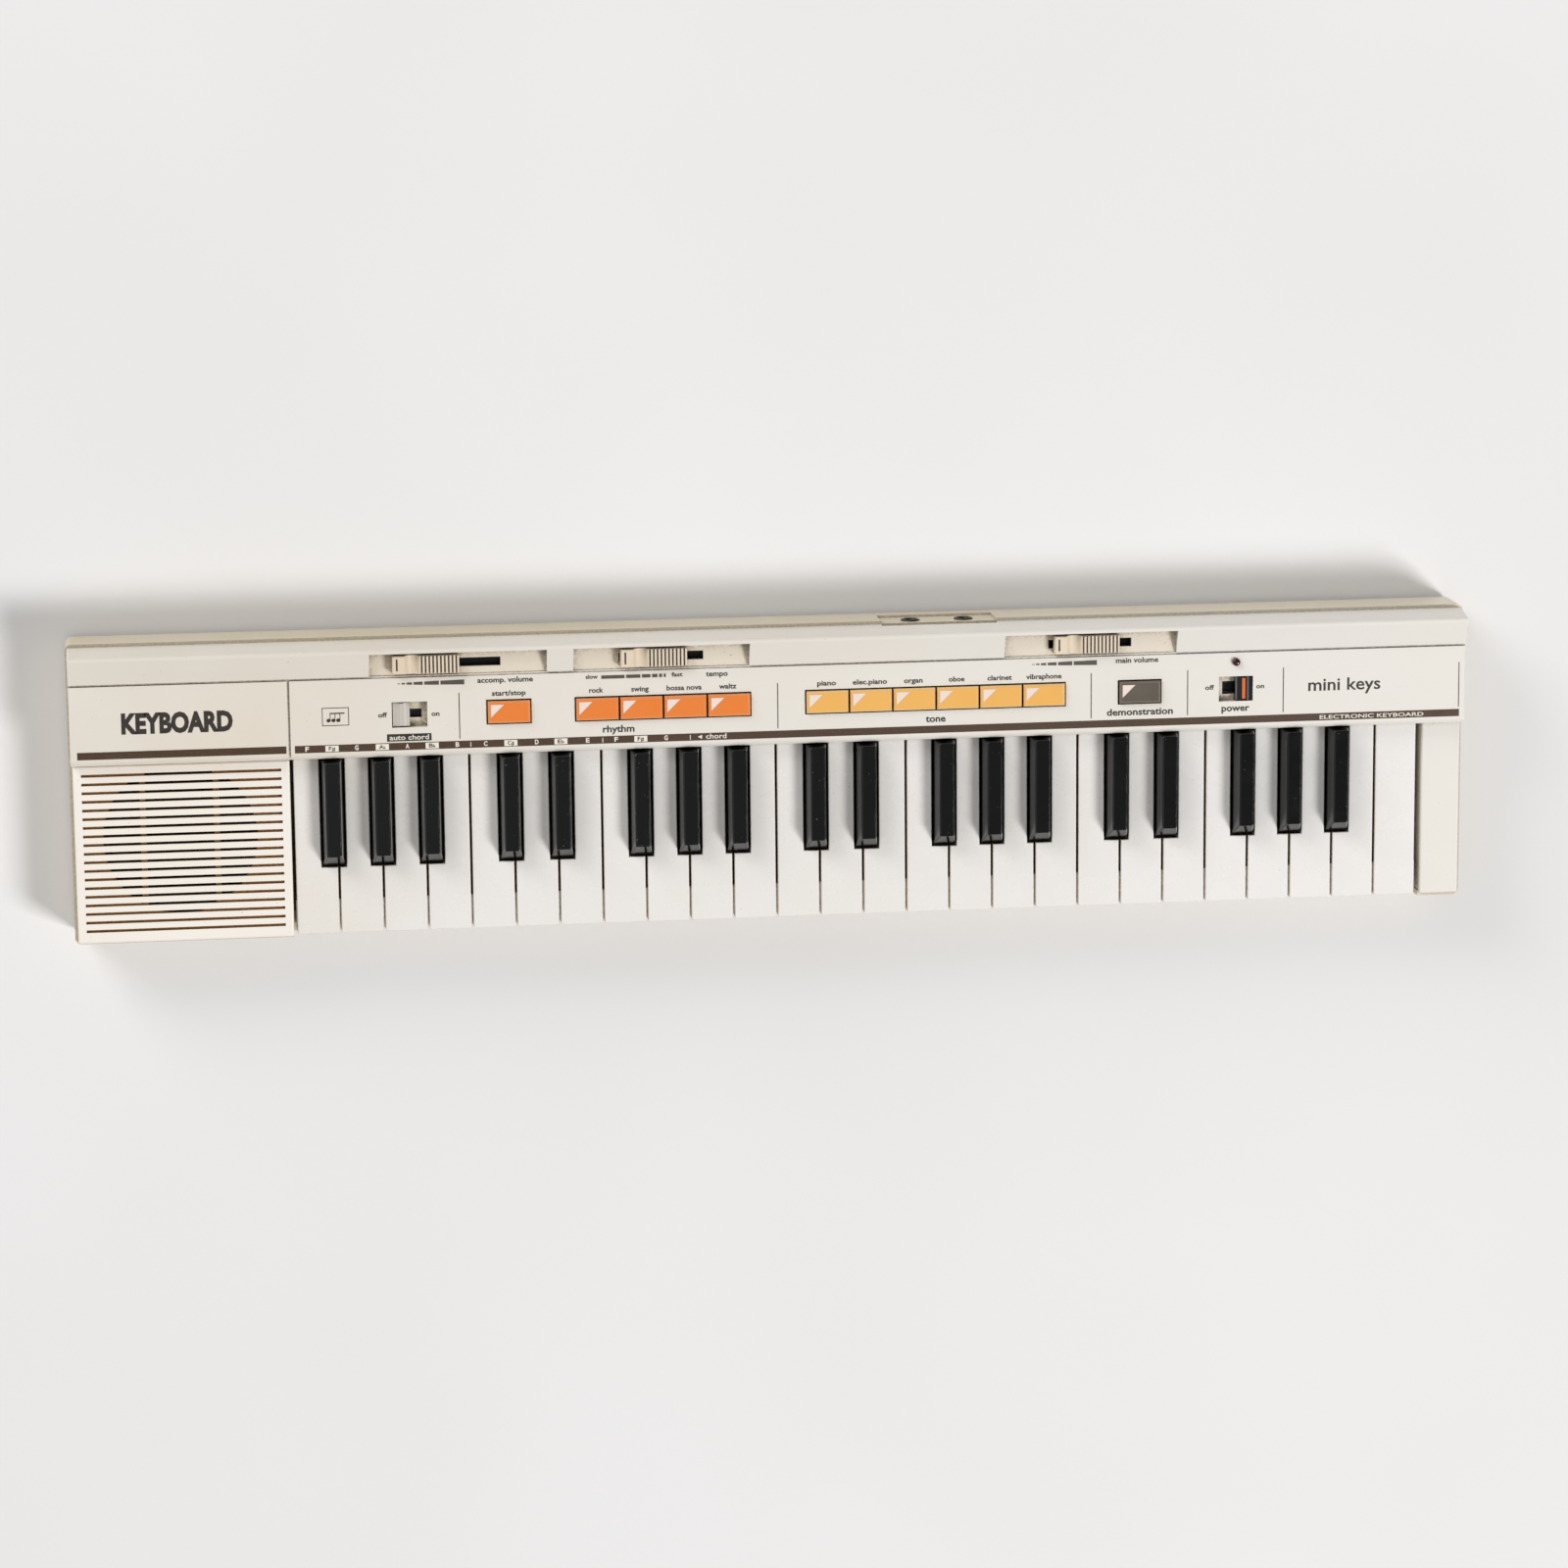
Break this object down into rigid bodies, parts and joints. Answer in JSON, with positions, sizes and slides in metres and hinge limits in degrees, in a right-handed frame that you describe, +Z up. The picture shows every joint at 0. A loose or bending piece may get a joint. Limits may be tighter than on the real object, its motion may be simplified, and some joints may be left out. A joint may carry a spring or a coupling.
{
  "type": "portable keyboard synthesizer",
  "caption": "Small portable electronic keyboard with mini keys, a speaker grille at the left, sound and rhythm buttons, slide controls and a raised rear ridge.",
  "frame": {"origin": "on the floor below the middle of the case", "axes": "+X to the player's right along the keys, +Y towards the rear, +Z up"},
  "size_m": [0.5738, 0.123, 0.0365],
  "materials": {
    "case_plastic": "fine satin moulded ABS, cream",
    "white_key": "satin moulded ABS, off-white",
    "black_key": "gloss moulded ABS, black",
    "orange_button": "satin moulded plastic, orange",
    "yellow_button": "satin moulded plastic, amber yellow",
    "dark_button": "satin moulded plastic, warm dark grey",
    "knob_plastic": "matte moulded plastic, beige grey",
    "grey_plastic": "matte moulded plastic, light grey",
    "black_plastic": "matte moulded plastic, black",
    "chassis_plastic": "matte moulded plastic, dark grey",
    "speaker_paper": "black paper cone and steel basket",
    "circuit_board": "brown phenolic circuit board",
    "control_metal": "zinc plated steel",
    "contact_steel": "nickel plated spring steel",
    "screw_steel": "zinc plated steel",
    "rubber": "matte black rubber"
  },
  "bodies": {
    "case": {"lower_case": "case_plastic", "upper_case": "case_plastic", "speaker_grille": "case_plastic", "loudspeaker": "speaker_paper", "key_frame": "chassis_plastic", "key_contact_board": "circuit_board", "main_circuit_board": "circuit_board", "slide_controls": "control_metal", "rear_sockets": "black_plastic", "battery_contacts": "contact_steel", "case_screws": "screw_steel", "rubber_feet": "rubber"},
    "white_key_01_f": {"white_key_01_f": "white_key"},
    "white_key_02_g": {"white_key_02_g": "white_key"},
    "white_key_03_a": {"white_key_03_a": "white_key"},
    "white_key_04_b": {"white_key_04_b": "white_key"},
    "white_key_05_c": {"white_key_05_c": "white_key"},
    "white_key_06_d": {"white_key_06_d": "white_key"},
    "white_key_07_e": {"white_key_07_e": "white_key"},
    "white_key_08_f": {"white_key_08_f": "white_key"},
    "white_key_09_g": {"white_key_09_g": "white_key"},
    "white_key_10_a": {"white_key_10_a": "white_key"},
    "white_key_11_b": {"white_key_11_b": "white_key"},
    "white_key_12_c": {"white_key_12_c": "white_key"},
    "white_key_13_d": {"white_key_13_d": "white_key"},
    "white_key_14_e": {"white_key_14_e": "white_key"},
    "white_key_15_f": {"white_key_15_f": "white_key"},
    "white_key_16_g": {"white_key_16_g": "white_key"},
    "white_key_17_a": {"white_key_17_a": "white_key"},
    "white_key_18_b": {"white_key_18_b": "white_key"},
    "white_key_19_c": {"white_key_19_c": "white_key"},
    "white_key_20_d": {"white_key_20_d": "white_key"},
    "white_key_21_e": {"white_key_21_e": "white_key"},
    "white_key_22_f": {"white_key_22_f": "white_key"},
    "white_key_23_g": {"white_key_23_g": "white_key"},
    "white_key_24_a": {"white_key_24_a": "white_key"},
    "white_key_25_b": {"white_key_25_b": "white_key"},
    "white_key_26_c": {"white_key_26_c": "white_key"},
    "black_keys_octave_1": {"black_keys_octave_1": "black_key"},
    "black_keys_octave_2": {"black_keys_octave_2": "black_key"},
    "black_keys_octave_3": {"black_keys_octave_3": "black_key"},
    "black_keys_octave_4": {"black_keys_octave_4": "black_key"},
    "start_stop_button": {"start_stop_button": "orange_button"},
    "rhythm_button_1": {"rhythm_button_1": "orange_button"},
    "rhythm_button_2": {"rhythm_button_2": "orange_button"},
    "rhythm_button_3": {"rhythm_button_3": "orange_button"},
    "rhythm_button_4": {"rhythm_button_4": "orange_button"},
    "tone_button_1": {"tone_button_1": "yellow_button"},
    "tone_button_2": {"tone_button_2": "yellow_button"},
    "tone_button_3": {"tone_button_3": "yellow_button"},
    "tone_button_4": {"tone_button_4": "yellow_button"},
    "tone_button_5": {"tone_button_5": "yellow_button"},
    "tone_button_6": {"tone_button_6": "yellow_button"},
    "demonstration_button": {"demonstration_button": "dark_button"},
    "accompaniment_volume_knob": {"accompaniment_volume_knob": "knob_plastic"},
    "tempo_knob": {"tempo_knob": "knob_plastic"},
    "main_volume_knob": {"main_volume_knob": "knob_plastic"},
    "chord_switch_knob": {"chord_switch_knob": "grey_plastic"},
    "power_switch_knob": {"power_switch_knob": "black_plastic"},
    "battery_cover": {"battery_cover": "case_plastic"}
  },
  "joints": [
    {"name": "white_key_01_f_pivot", "type": "hinge", "parent": "case", "child": "white_key_01_f", "pos_m": [-0.1977, 0.03335, 0.0184], "axis": [1, 0, 0], "range_deg": [0, 2.2], "stiffness_Nm_per_rad": 0.35, "springref_deg": -6.88},
    {"name": "white_key_02_g_pivot", "type": "hinge", "parent": "case", "child": "white_key_02_g", "pos_m": [-0.1977, 0.03335, 0.0184], "axis": [1, 0, 0], "range_deg": [0, 2.2], "stiffness_Nm_per_rad": 0.35, "springref_deg": -6.88},
    {"name": "white_key_03_a_pivot", "type": "hinge", "parent": "case", "child": "white_key_03_a", "pos_m": [-0.1977, 0.03335, 0.0184], "axis": [1, 0, 0], "range_deg": [0, 2.2], "stiffness_Nm_per_rad": 0.35, "springref_deg": -6.88},
    {"name": "white_key_04_b_pivot", "type": "hinge", "parent": "case", "child": "white_key_04_b", "pos_m": [-0.1977, 0.03335, 0.0184], "axis": [1, 0, 0], "range_deg": [0, 2.2], "stiffness_Nm_per_rad": 0.35, "springref_deg": -6.88},
    {"name": "white_key_05_c_pivot", "type": "hinge", "parent": "case", "child": "white_key_05_c", "pos_m": [-0.1977, 0.03335, 0.0184], "axis": [1, 0, 0], "range_deg": [0, 2.2], "stiffness_Nm_per_rad": 0.35, "springref_deg": -6.88},
    {"name": "white_key_06_d_pivot", "type": "hinge", "parent": "case", "child": "white_key_06_d", "pos_m": [-0.1977, 0.03335, 0.0184], "axis": [1, 0, 0], "range_deg": [0, 2.2], "stiffness_Nm_per_rad": 0.35, "springref_deg": -6.88},
    {"name": "white_key_07_e_pivot", "type": "hinge", "parent": "case", "child": "white_key_07_e", "pos_m": [-0.1977, 0.03335, 0.0184], "axis": [1, 0, 0], "range_deg": [0, 2.2], "stiffness_Nm_per_rad": 0.35, "springref_deg": -6.88},
    {"name": "white_key_08_f_pivot", "type": "hinge", "parent": "case", "child": "white_key_08_f", "pos_m": [-0.1977, 0.03335, 0.0184], "axis": [1, 0, 0], "range_deg": [0, 2.2], "stiffness_Nm_per_rad": 0.35, "springref_deg": -6.88},
    {"name": "white_key_09_g_pivot", "type": "hinge", "parent": "case", "child": "white_key_09_g", "pos_m": [-0.1977, 0.03335, 0.0184], "axis": [1, 0, 0], "range_deg": [0, 2.2], "stiffness_Nm_per_rad": 0.35, "springref_deg": -6.88},
    {"name": "white_key_10_a_pivot", "type": "hinge", "parent": "case", "child": "white_key_10_a", "pos_m": [-0.1977, 0.03335, 0.0184], "axis": [1, 0, 0], "range_deg": [0, 2.2], "stiffness_Nm_per_rad": 0.35, "springref_deg": -6.88},
    {"name": "white_key_11_b_pivot", "type": "hinge", "parent": "case", "child": "white_key_11_b", "pos_m": [-0.1977, 0.03335, 0.0184], "axis": [1, 0, 0], "range_deg": [0, 2.2], "stiffness_Nm_per_rad": 0.35, "springref_deg": -6.88},
    {"name": "white_key_12_c_pivot", "type": "hinge", "parent": "case", "child": "white_key_12_c", "pos_m": [-0.1977, 0.03335, 0.0184], "axis": [1, 0, 0], "range_deg": [0, 2.2], "stiffness_Nm_per_rad": 0.35, "springref_deg": -6.88},
    {"name": "white_key_13_d_pivot", "type": "hinge", "parent": "case", "child": "white_key_13_d", "pos_m": [-0.1977, 0.03335, 0.0184], "axis": [1, 0, 0], "range_deg": [0, 2.2], "stiffness_Nm_per_rad": 0.35, "springref_deg": -6.88},
    {"name": "white_key_14_e_pivot", "type": "hinge", "parent": "case", "child": "white_key_14_e", "pos_m": [-0.1977, 0.03335, 0.0184], "axis": [1, 0, 0], "range_deg": [0, 2.2], "stiffness_Nm_per_rad": 0.35, "springref_deg": -6.88},
    {"name": "white_key_15_f_pivot", "type": "hinge", "parent": "case", "child": "white_key_15_f", "pos_m": [-0.1977, 0.03335, 0.0184], "axis": [1, 0, 0], "range_deg": [0, 2.2], "stiffness_Nm_per_rad": 0.35, "springref_deg": -6.88},
    {"name": "white_key_16_g_pivot", "type": "hinge", "parent": "case", "child": "white_key_16_g", "pos_m": [-0.1977, 0.03335, 0.0184], "axis": [1, 0, 0], "range_deg": [0, 2.2], "stiffness_Nm_per_rad": 0.35, "springref_deg": -6.88},
    {"name": "white_key_17_a_pivot", "type": "hinge", "parent": "case", "child": "white_key_17_a", "pos_m": [-0.1977, 0.03335, 0.0184], "axis": [1, 0, 0], "range_deg": [0, 2.2], "stiffness_Nm_per_rad": 0.35, "springref_deg": -6.88},
    {"name": "white_key_18_b_pivot", "type": "hinge", "parent": "case", "child": "white_key_18_b", "pos_m": [-0.1977, 0.03335, 0.0184], "axis": [1, 0, 0], "range_deg": [0, 2.2], "stiffness_Nm_per_rad": 0.35, "springref_deg": -6.88},
    {"name": "white_key_19_c_pivot", "type": "hinge", "parent": "case", "child": "white_key_19_c", "pos_m": [-0.1977, 0.03335, 0.0184], "axis": [1, 0, 0], "range_deg": [0, 2.2], "stiffness_Nm_per_rad": 0.35, "springref_deg": -6.88},
    {"name": "white_key_20_d_pivot", "type": "hinge", "parent": "case", "child": "white_key_20_d", "pos_m": [-0.1977, 0.03335, 0.0184], "axis": [1, 0, 0], "range_deg": [0, 2.2], "stiffness_Nm_per_rad": 0.35, "springref_deg": -6.88},
    {"name": "white_key_21_e_pivot", "type": "hinge", "parent": "case", "child": "white_key_21_e", "pos_m": [-0.1977, 0.03335, 0.0184], "axis": [1, 0, 0], "range_deg": [0, 2.2], "stiffness_Nm_per_rad": 0.35, "springref_deg": -6.88},
    {"name": "white_key_22_f_pivot", "type": "hinge", "parent": "case", "child": "white_key_22_f", "pos_m": [-0.1977, 0.03335, 0.0184], "axis": [1, 0, 0], "range_deg": [0, 2.2], "stiffness_Nm_per_rad": 0.35, "springref_deg": -6.88},
    {"name": "white_key_23_g_pivot", "type": "hinge", "parent": "case", "child": "white_key_23_g", "pos_m": [-0.1977, 0.03335, 0.0184], "axis": [1, 0, 0], "range_deg": [0, 2.2], "stiffness_Nm_per_rad": 0.35, "springref_deg": -6.88},
    {"name": "white_key_24_a_pivot", "type": "hinge", "parent": "case", "child": "white_key_24_a", "pos_m": [-0.1977, 0.03335, 0.0184], "axis": [1, 0, 0], "range_deg": [0, 2.2], "stiffness_Nm_per_rad": 0.35, "springref_deg": -6.88},
    {"name": "white_key_25_b_pivot", "type": "hinge", "parent": "case", "child": "white_key_25_b", "pos_m": [-0.1977, 0.03335, 0.0184], "axis": [1, 0, 0], "range_deg": [0, 2.2], "stiffness_Nm_per_rad": 0.35, "springref_deg": -6.88},
    {"name": "white_key_26_c_pivot", "type": "hinge", "parent": "case", "child": "white_key_26_c", "pos_m": [-0.1977, 0.03335, 0.0184], "axis": [1, 0, 0], "range_deg": [0, 2.2], "stiffness_Nm_per_rad": 0.35, "springref_deg": -6.88},
    {"name": "black_keys_octave_1_pivot", "type": "hinge", "parent": "case", "child": "black_keys_octave_1", "pos_m": [-0.1977, 0.03335, 0.0184], "axis": [1, 0, 0], "range_deg": [0, 2.2], "stiffness_Nm_per_rad": 1.2, "springref_deg": -6.88},
    {"name": "black_keys_octave_2_pivot", "type": "hinge", "parent": "case", "child": "black_keys_octave_2", "pos_m": [-0.1977, 0.03335, 0.0184], "axis": [1, 0, 0], "range_deg": [0, 2.2], "stiffness_Nm_per_rad": 1.2, "springref_deg": -6.88},
    {"name": "black_keys_octave_3_pivot", "type": "hinge", "parent": "case", "child": "black_keys_octave_3", "pos_m": [-0.1977, 0.03335, 0.0184], "axis": [1, 0, 0], "range_deg": [0, 2.2], "stiffness_Nm_per_rad": 1.2, "springref_deg": -6.88},
    {"name": "black_keys_octave_4_pivot", "type": "hinge", "parent": "case", "child": "black_keys_octave_4", "pos_m": [-0.1977, 0.03335, 0.0184], "axis": [1, 0, 0], "range_deg": [0, 2.2], "stiffness_Nm_per_rad": 1.2, "springref_deg": -6.88},
    {"name": "start_stop_button_press", "type": "slide", "parent": "case", "child": "start_stop_button", "axis": [0, 0, -1], "range_m": [0, 0.0015], "stiffness_N_per_m": 300, "springref_m": -0.001},
    {"name": "rhythm_button_1_press", "type": "slide", "parent": "case", "child": "rhythm_button_1", "axis": [0, 0, -1], "range_m": [0, 0.0015], "stiffness_N_per_m": 300, "springref_m": -0.001},
    {"name": "rhythm_button_2_press", "type": "slide", "parent": "case", "child": "rhythm_button_2", "axis": [0, 0, -1], "range_m": [0, 0.0015], "stiffness_N_per_m": 300, "springref_m": -0.001},
    {"name": "rhythm_button_3_press", "type": "slide", "parent": "case", "child": "rhythm_button_3", "axis": [0, 0, -1], "range_m": [0, 0.0015], "stiffness_N_per_m": 300, "springref_m": -0.001},
    {"name": "rhythm_button_4_press", "type": "slide", "parent": "case", "child": "rhythm_button_4", "axis": [0, 0, -1], "range_m": [0, 0.0015], "stiffness_N_per_m": 300, "springref_m": -0.001},
    {"name": "tone_button_1_press", "type": "slide", "parent": "case", "child": "tone_button_1", "axis": [0, 0, -1], "range_m": [0, 0.0015], "stiffness_N_per_m": 300, "springref_m": -0.001},
    {"name": "tone_button_2_press", "type": "slide", "parent": "case", "child": "tone_button_2", "axis": [0, 0, -1], "range_m": [0, 0.0015], "stiffness_N_per_m": 300, "springref_m": -0.001},
    {"name": "tone_button_3_press", "type": "slide", "parent": "case", "child": "tone_button_3", "axis": [0, 0, -1], "range_m": [0, 0.0015], "stiffness_N_per_m": 300, "springref_m": -0.001},
    {"name": "tone_button_4_press", "type": "slide", "parent": "case", "child": "tone_button_4", "axis": [0, 0, -1], "range_m": [0, 0.0015], "stiffness_N_per_m": 300, "springref_m": -0.001},
    {"name": "tone_button_5_press", "type": "slide", "parent": "case", "child": "tone_button_5", "axis": [0, 0, -1], "range_m": [0, 0.0015], "stiffness_N_per_m": 300, "springref_m": -0.001},
    {"name": "tone_button_6_press", "type": "slide", "parent": "case", "child": "tone_button_6", "axis": [0, 0, -1], "range_m": [0, 0.0015], "stiffness_N_per_m": 300, "springref_m": -0.001},
    {"name": "demonstration_button_press", "type": "slide", "parent": "case", "child": "demonstration_button", "axis": [0, 0, -1], "range_m": [0, 0.0015], "stiffness_N_per_m": 300, "springref_m": -0.001},
    {"name": "accompaniment_volume_knob_slide", "type": "slide", "parent": "case", "child": "accompaniment_volume_knob", "axis": [1, 0, 0], "range_m": [0, 0.0262]},
    {"name": "tempo_knob_slide", "type": "slide", "parent": "case", "child": "tempo_knob", "axis": [1, 0, 0], "range_m": [-0.0099, 0.0163]},
    {"name": "main_volume_knob_slide", "type": "slide", "parent": "case", "child": "main_volume_knob", "axis": [1, 0, 0], "range_m": [-0.0113, 0.0149]},
    {"name": "chord_switch_knob_slide", "type": "slide", "parent": "case", "child": "chord_switch_knob", "axis": [1, 0, 0], "range_m": [0, 0.0067]},
    {"name": "power_switch_knob_slide", "type": "slide", "parent": "case", "child": "power_switch_knob", "axis": [-1, 0, 0], "range_m": [0, 0.0067]},
    {"name": "battery_cover_slide", "type": "slide", "parent": "case", "child": "battery_cover", "axis": [0, -1, 0], "range_m": [0, 0.008]}
  ]
}
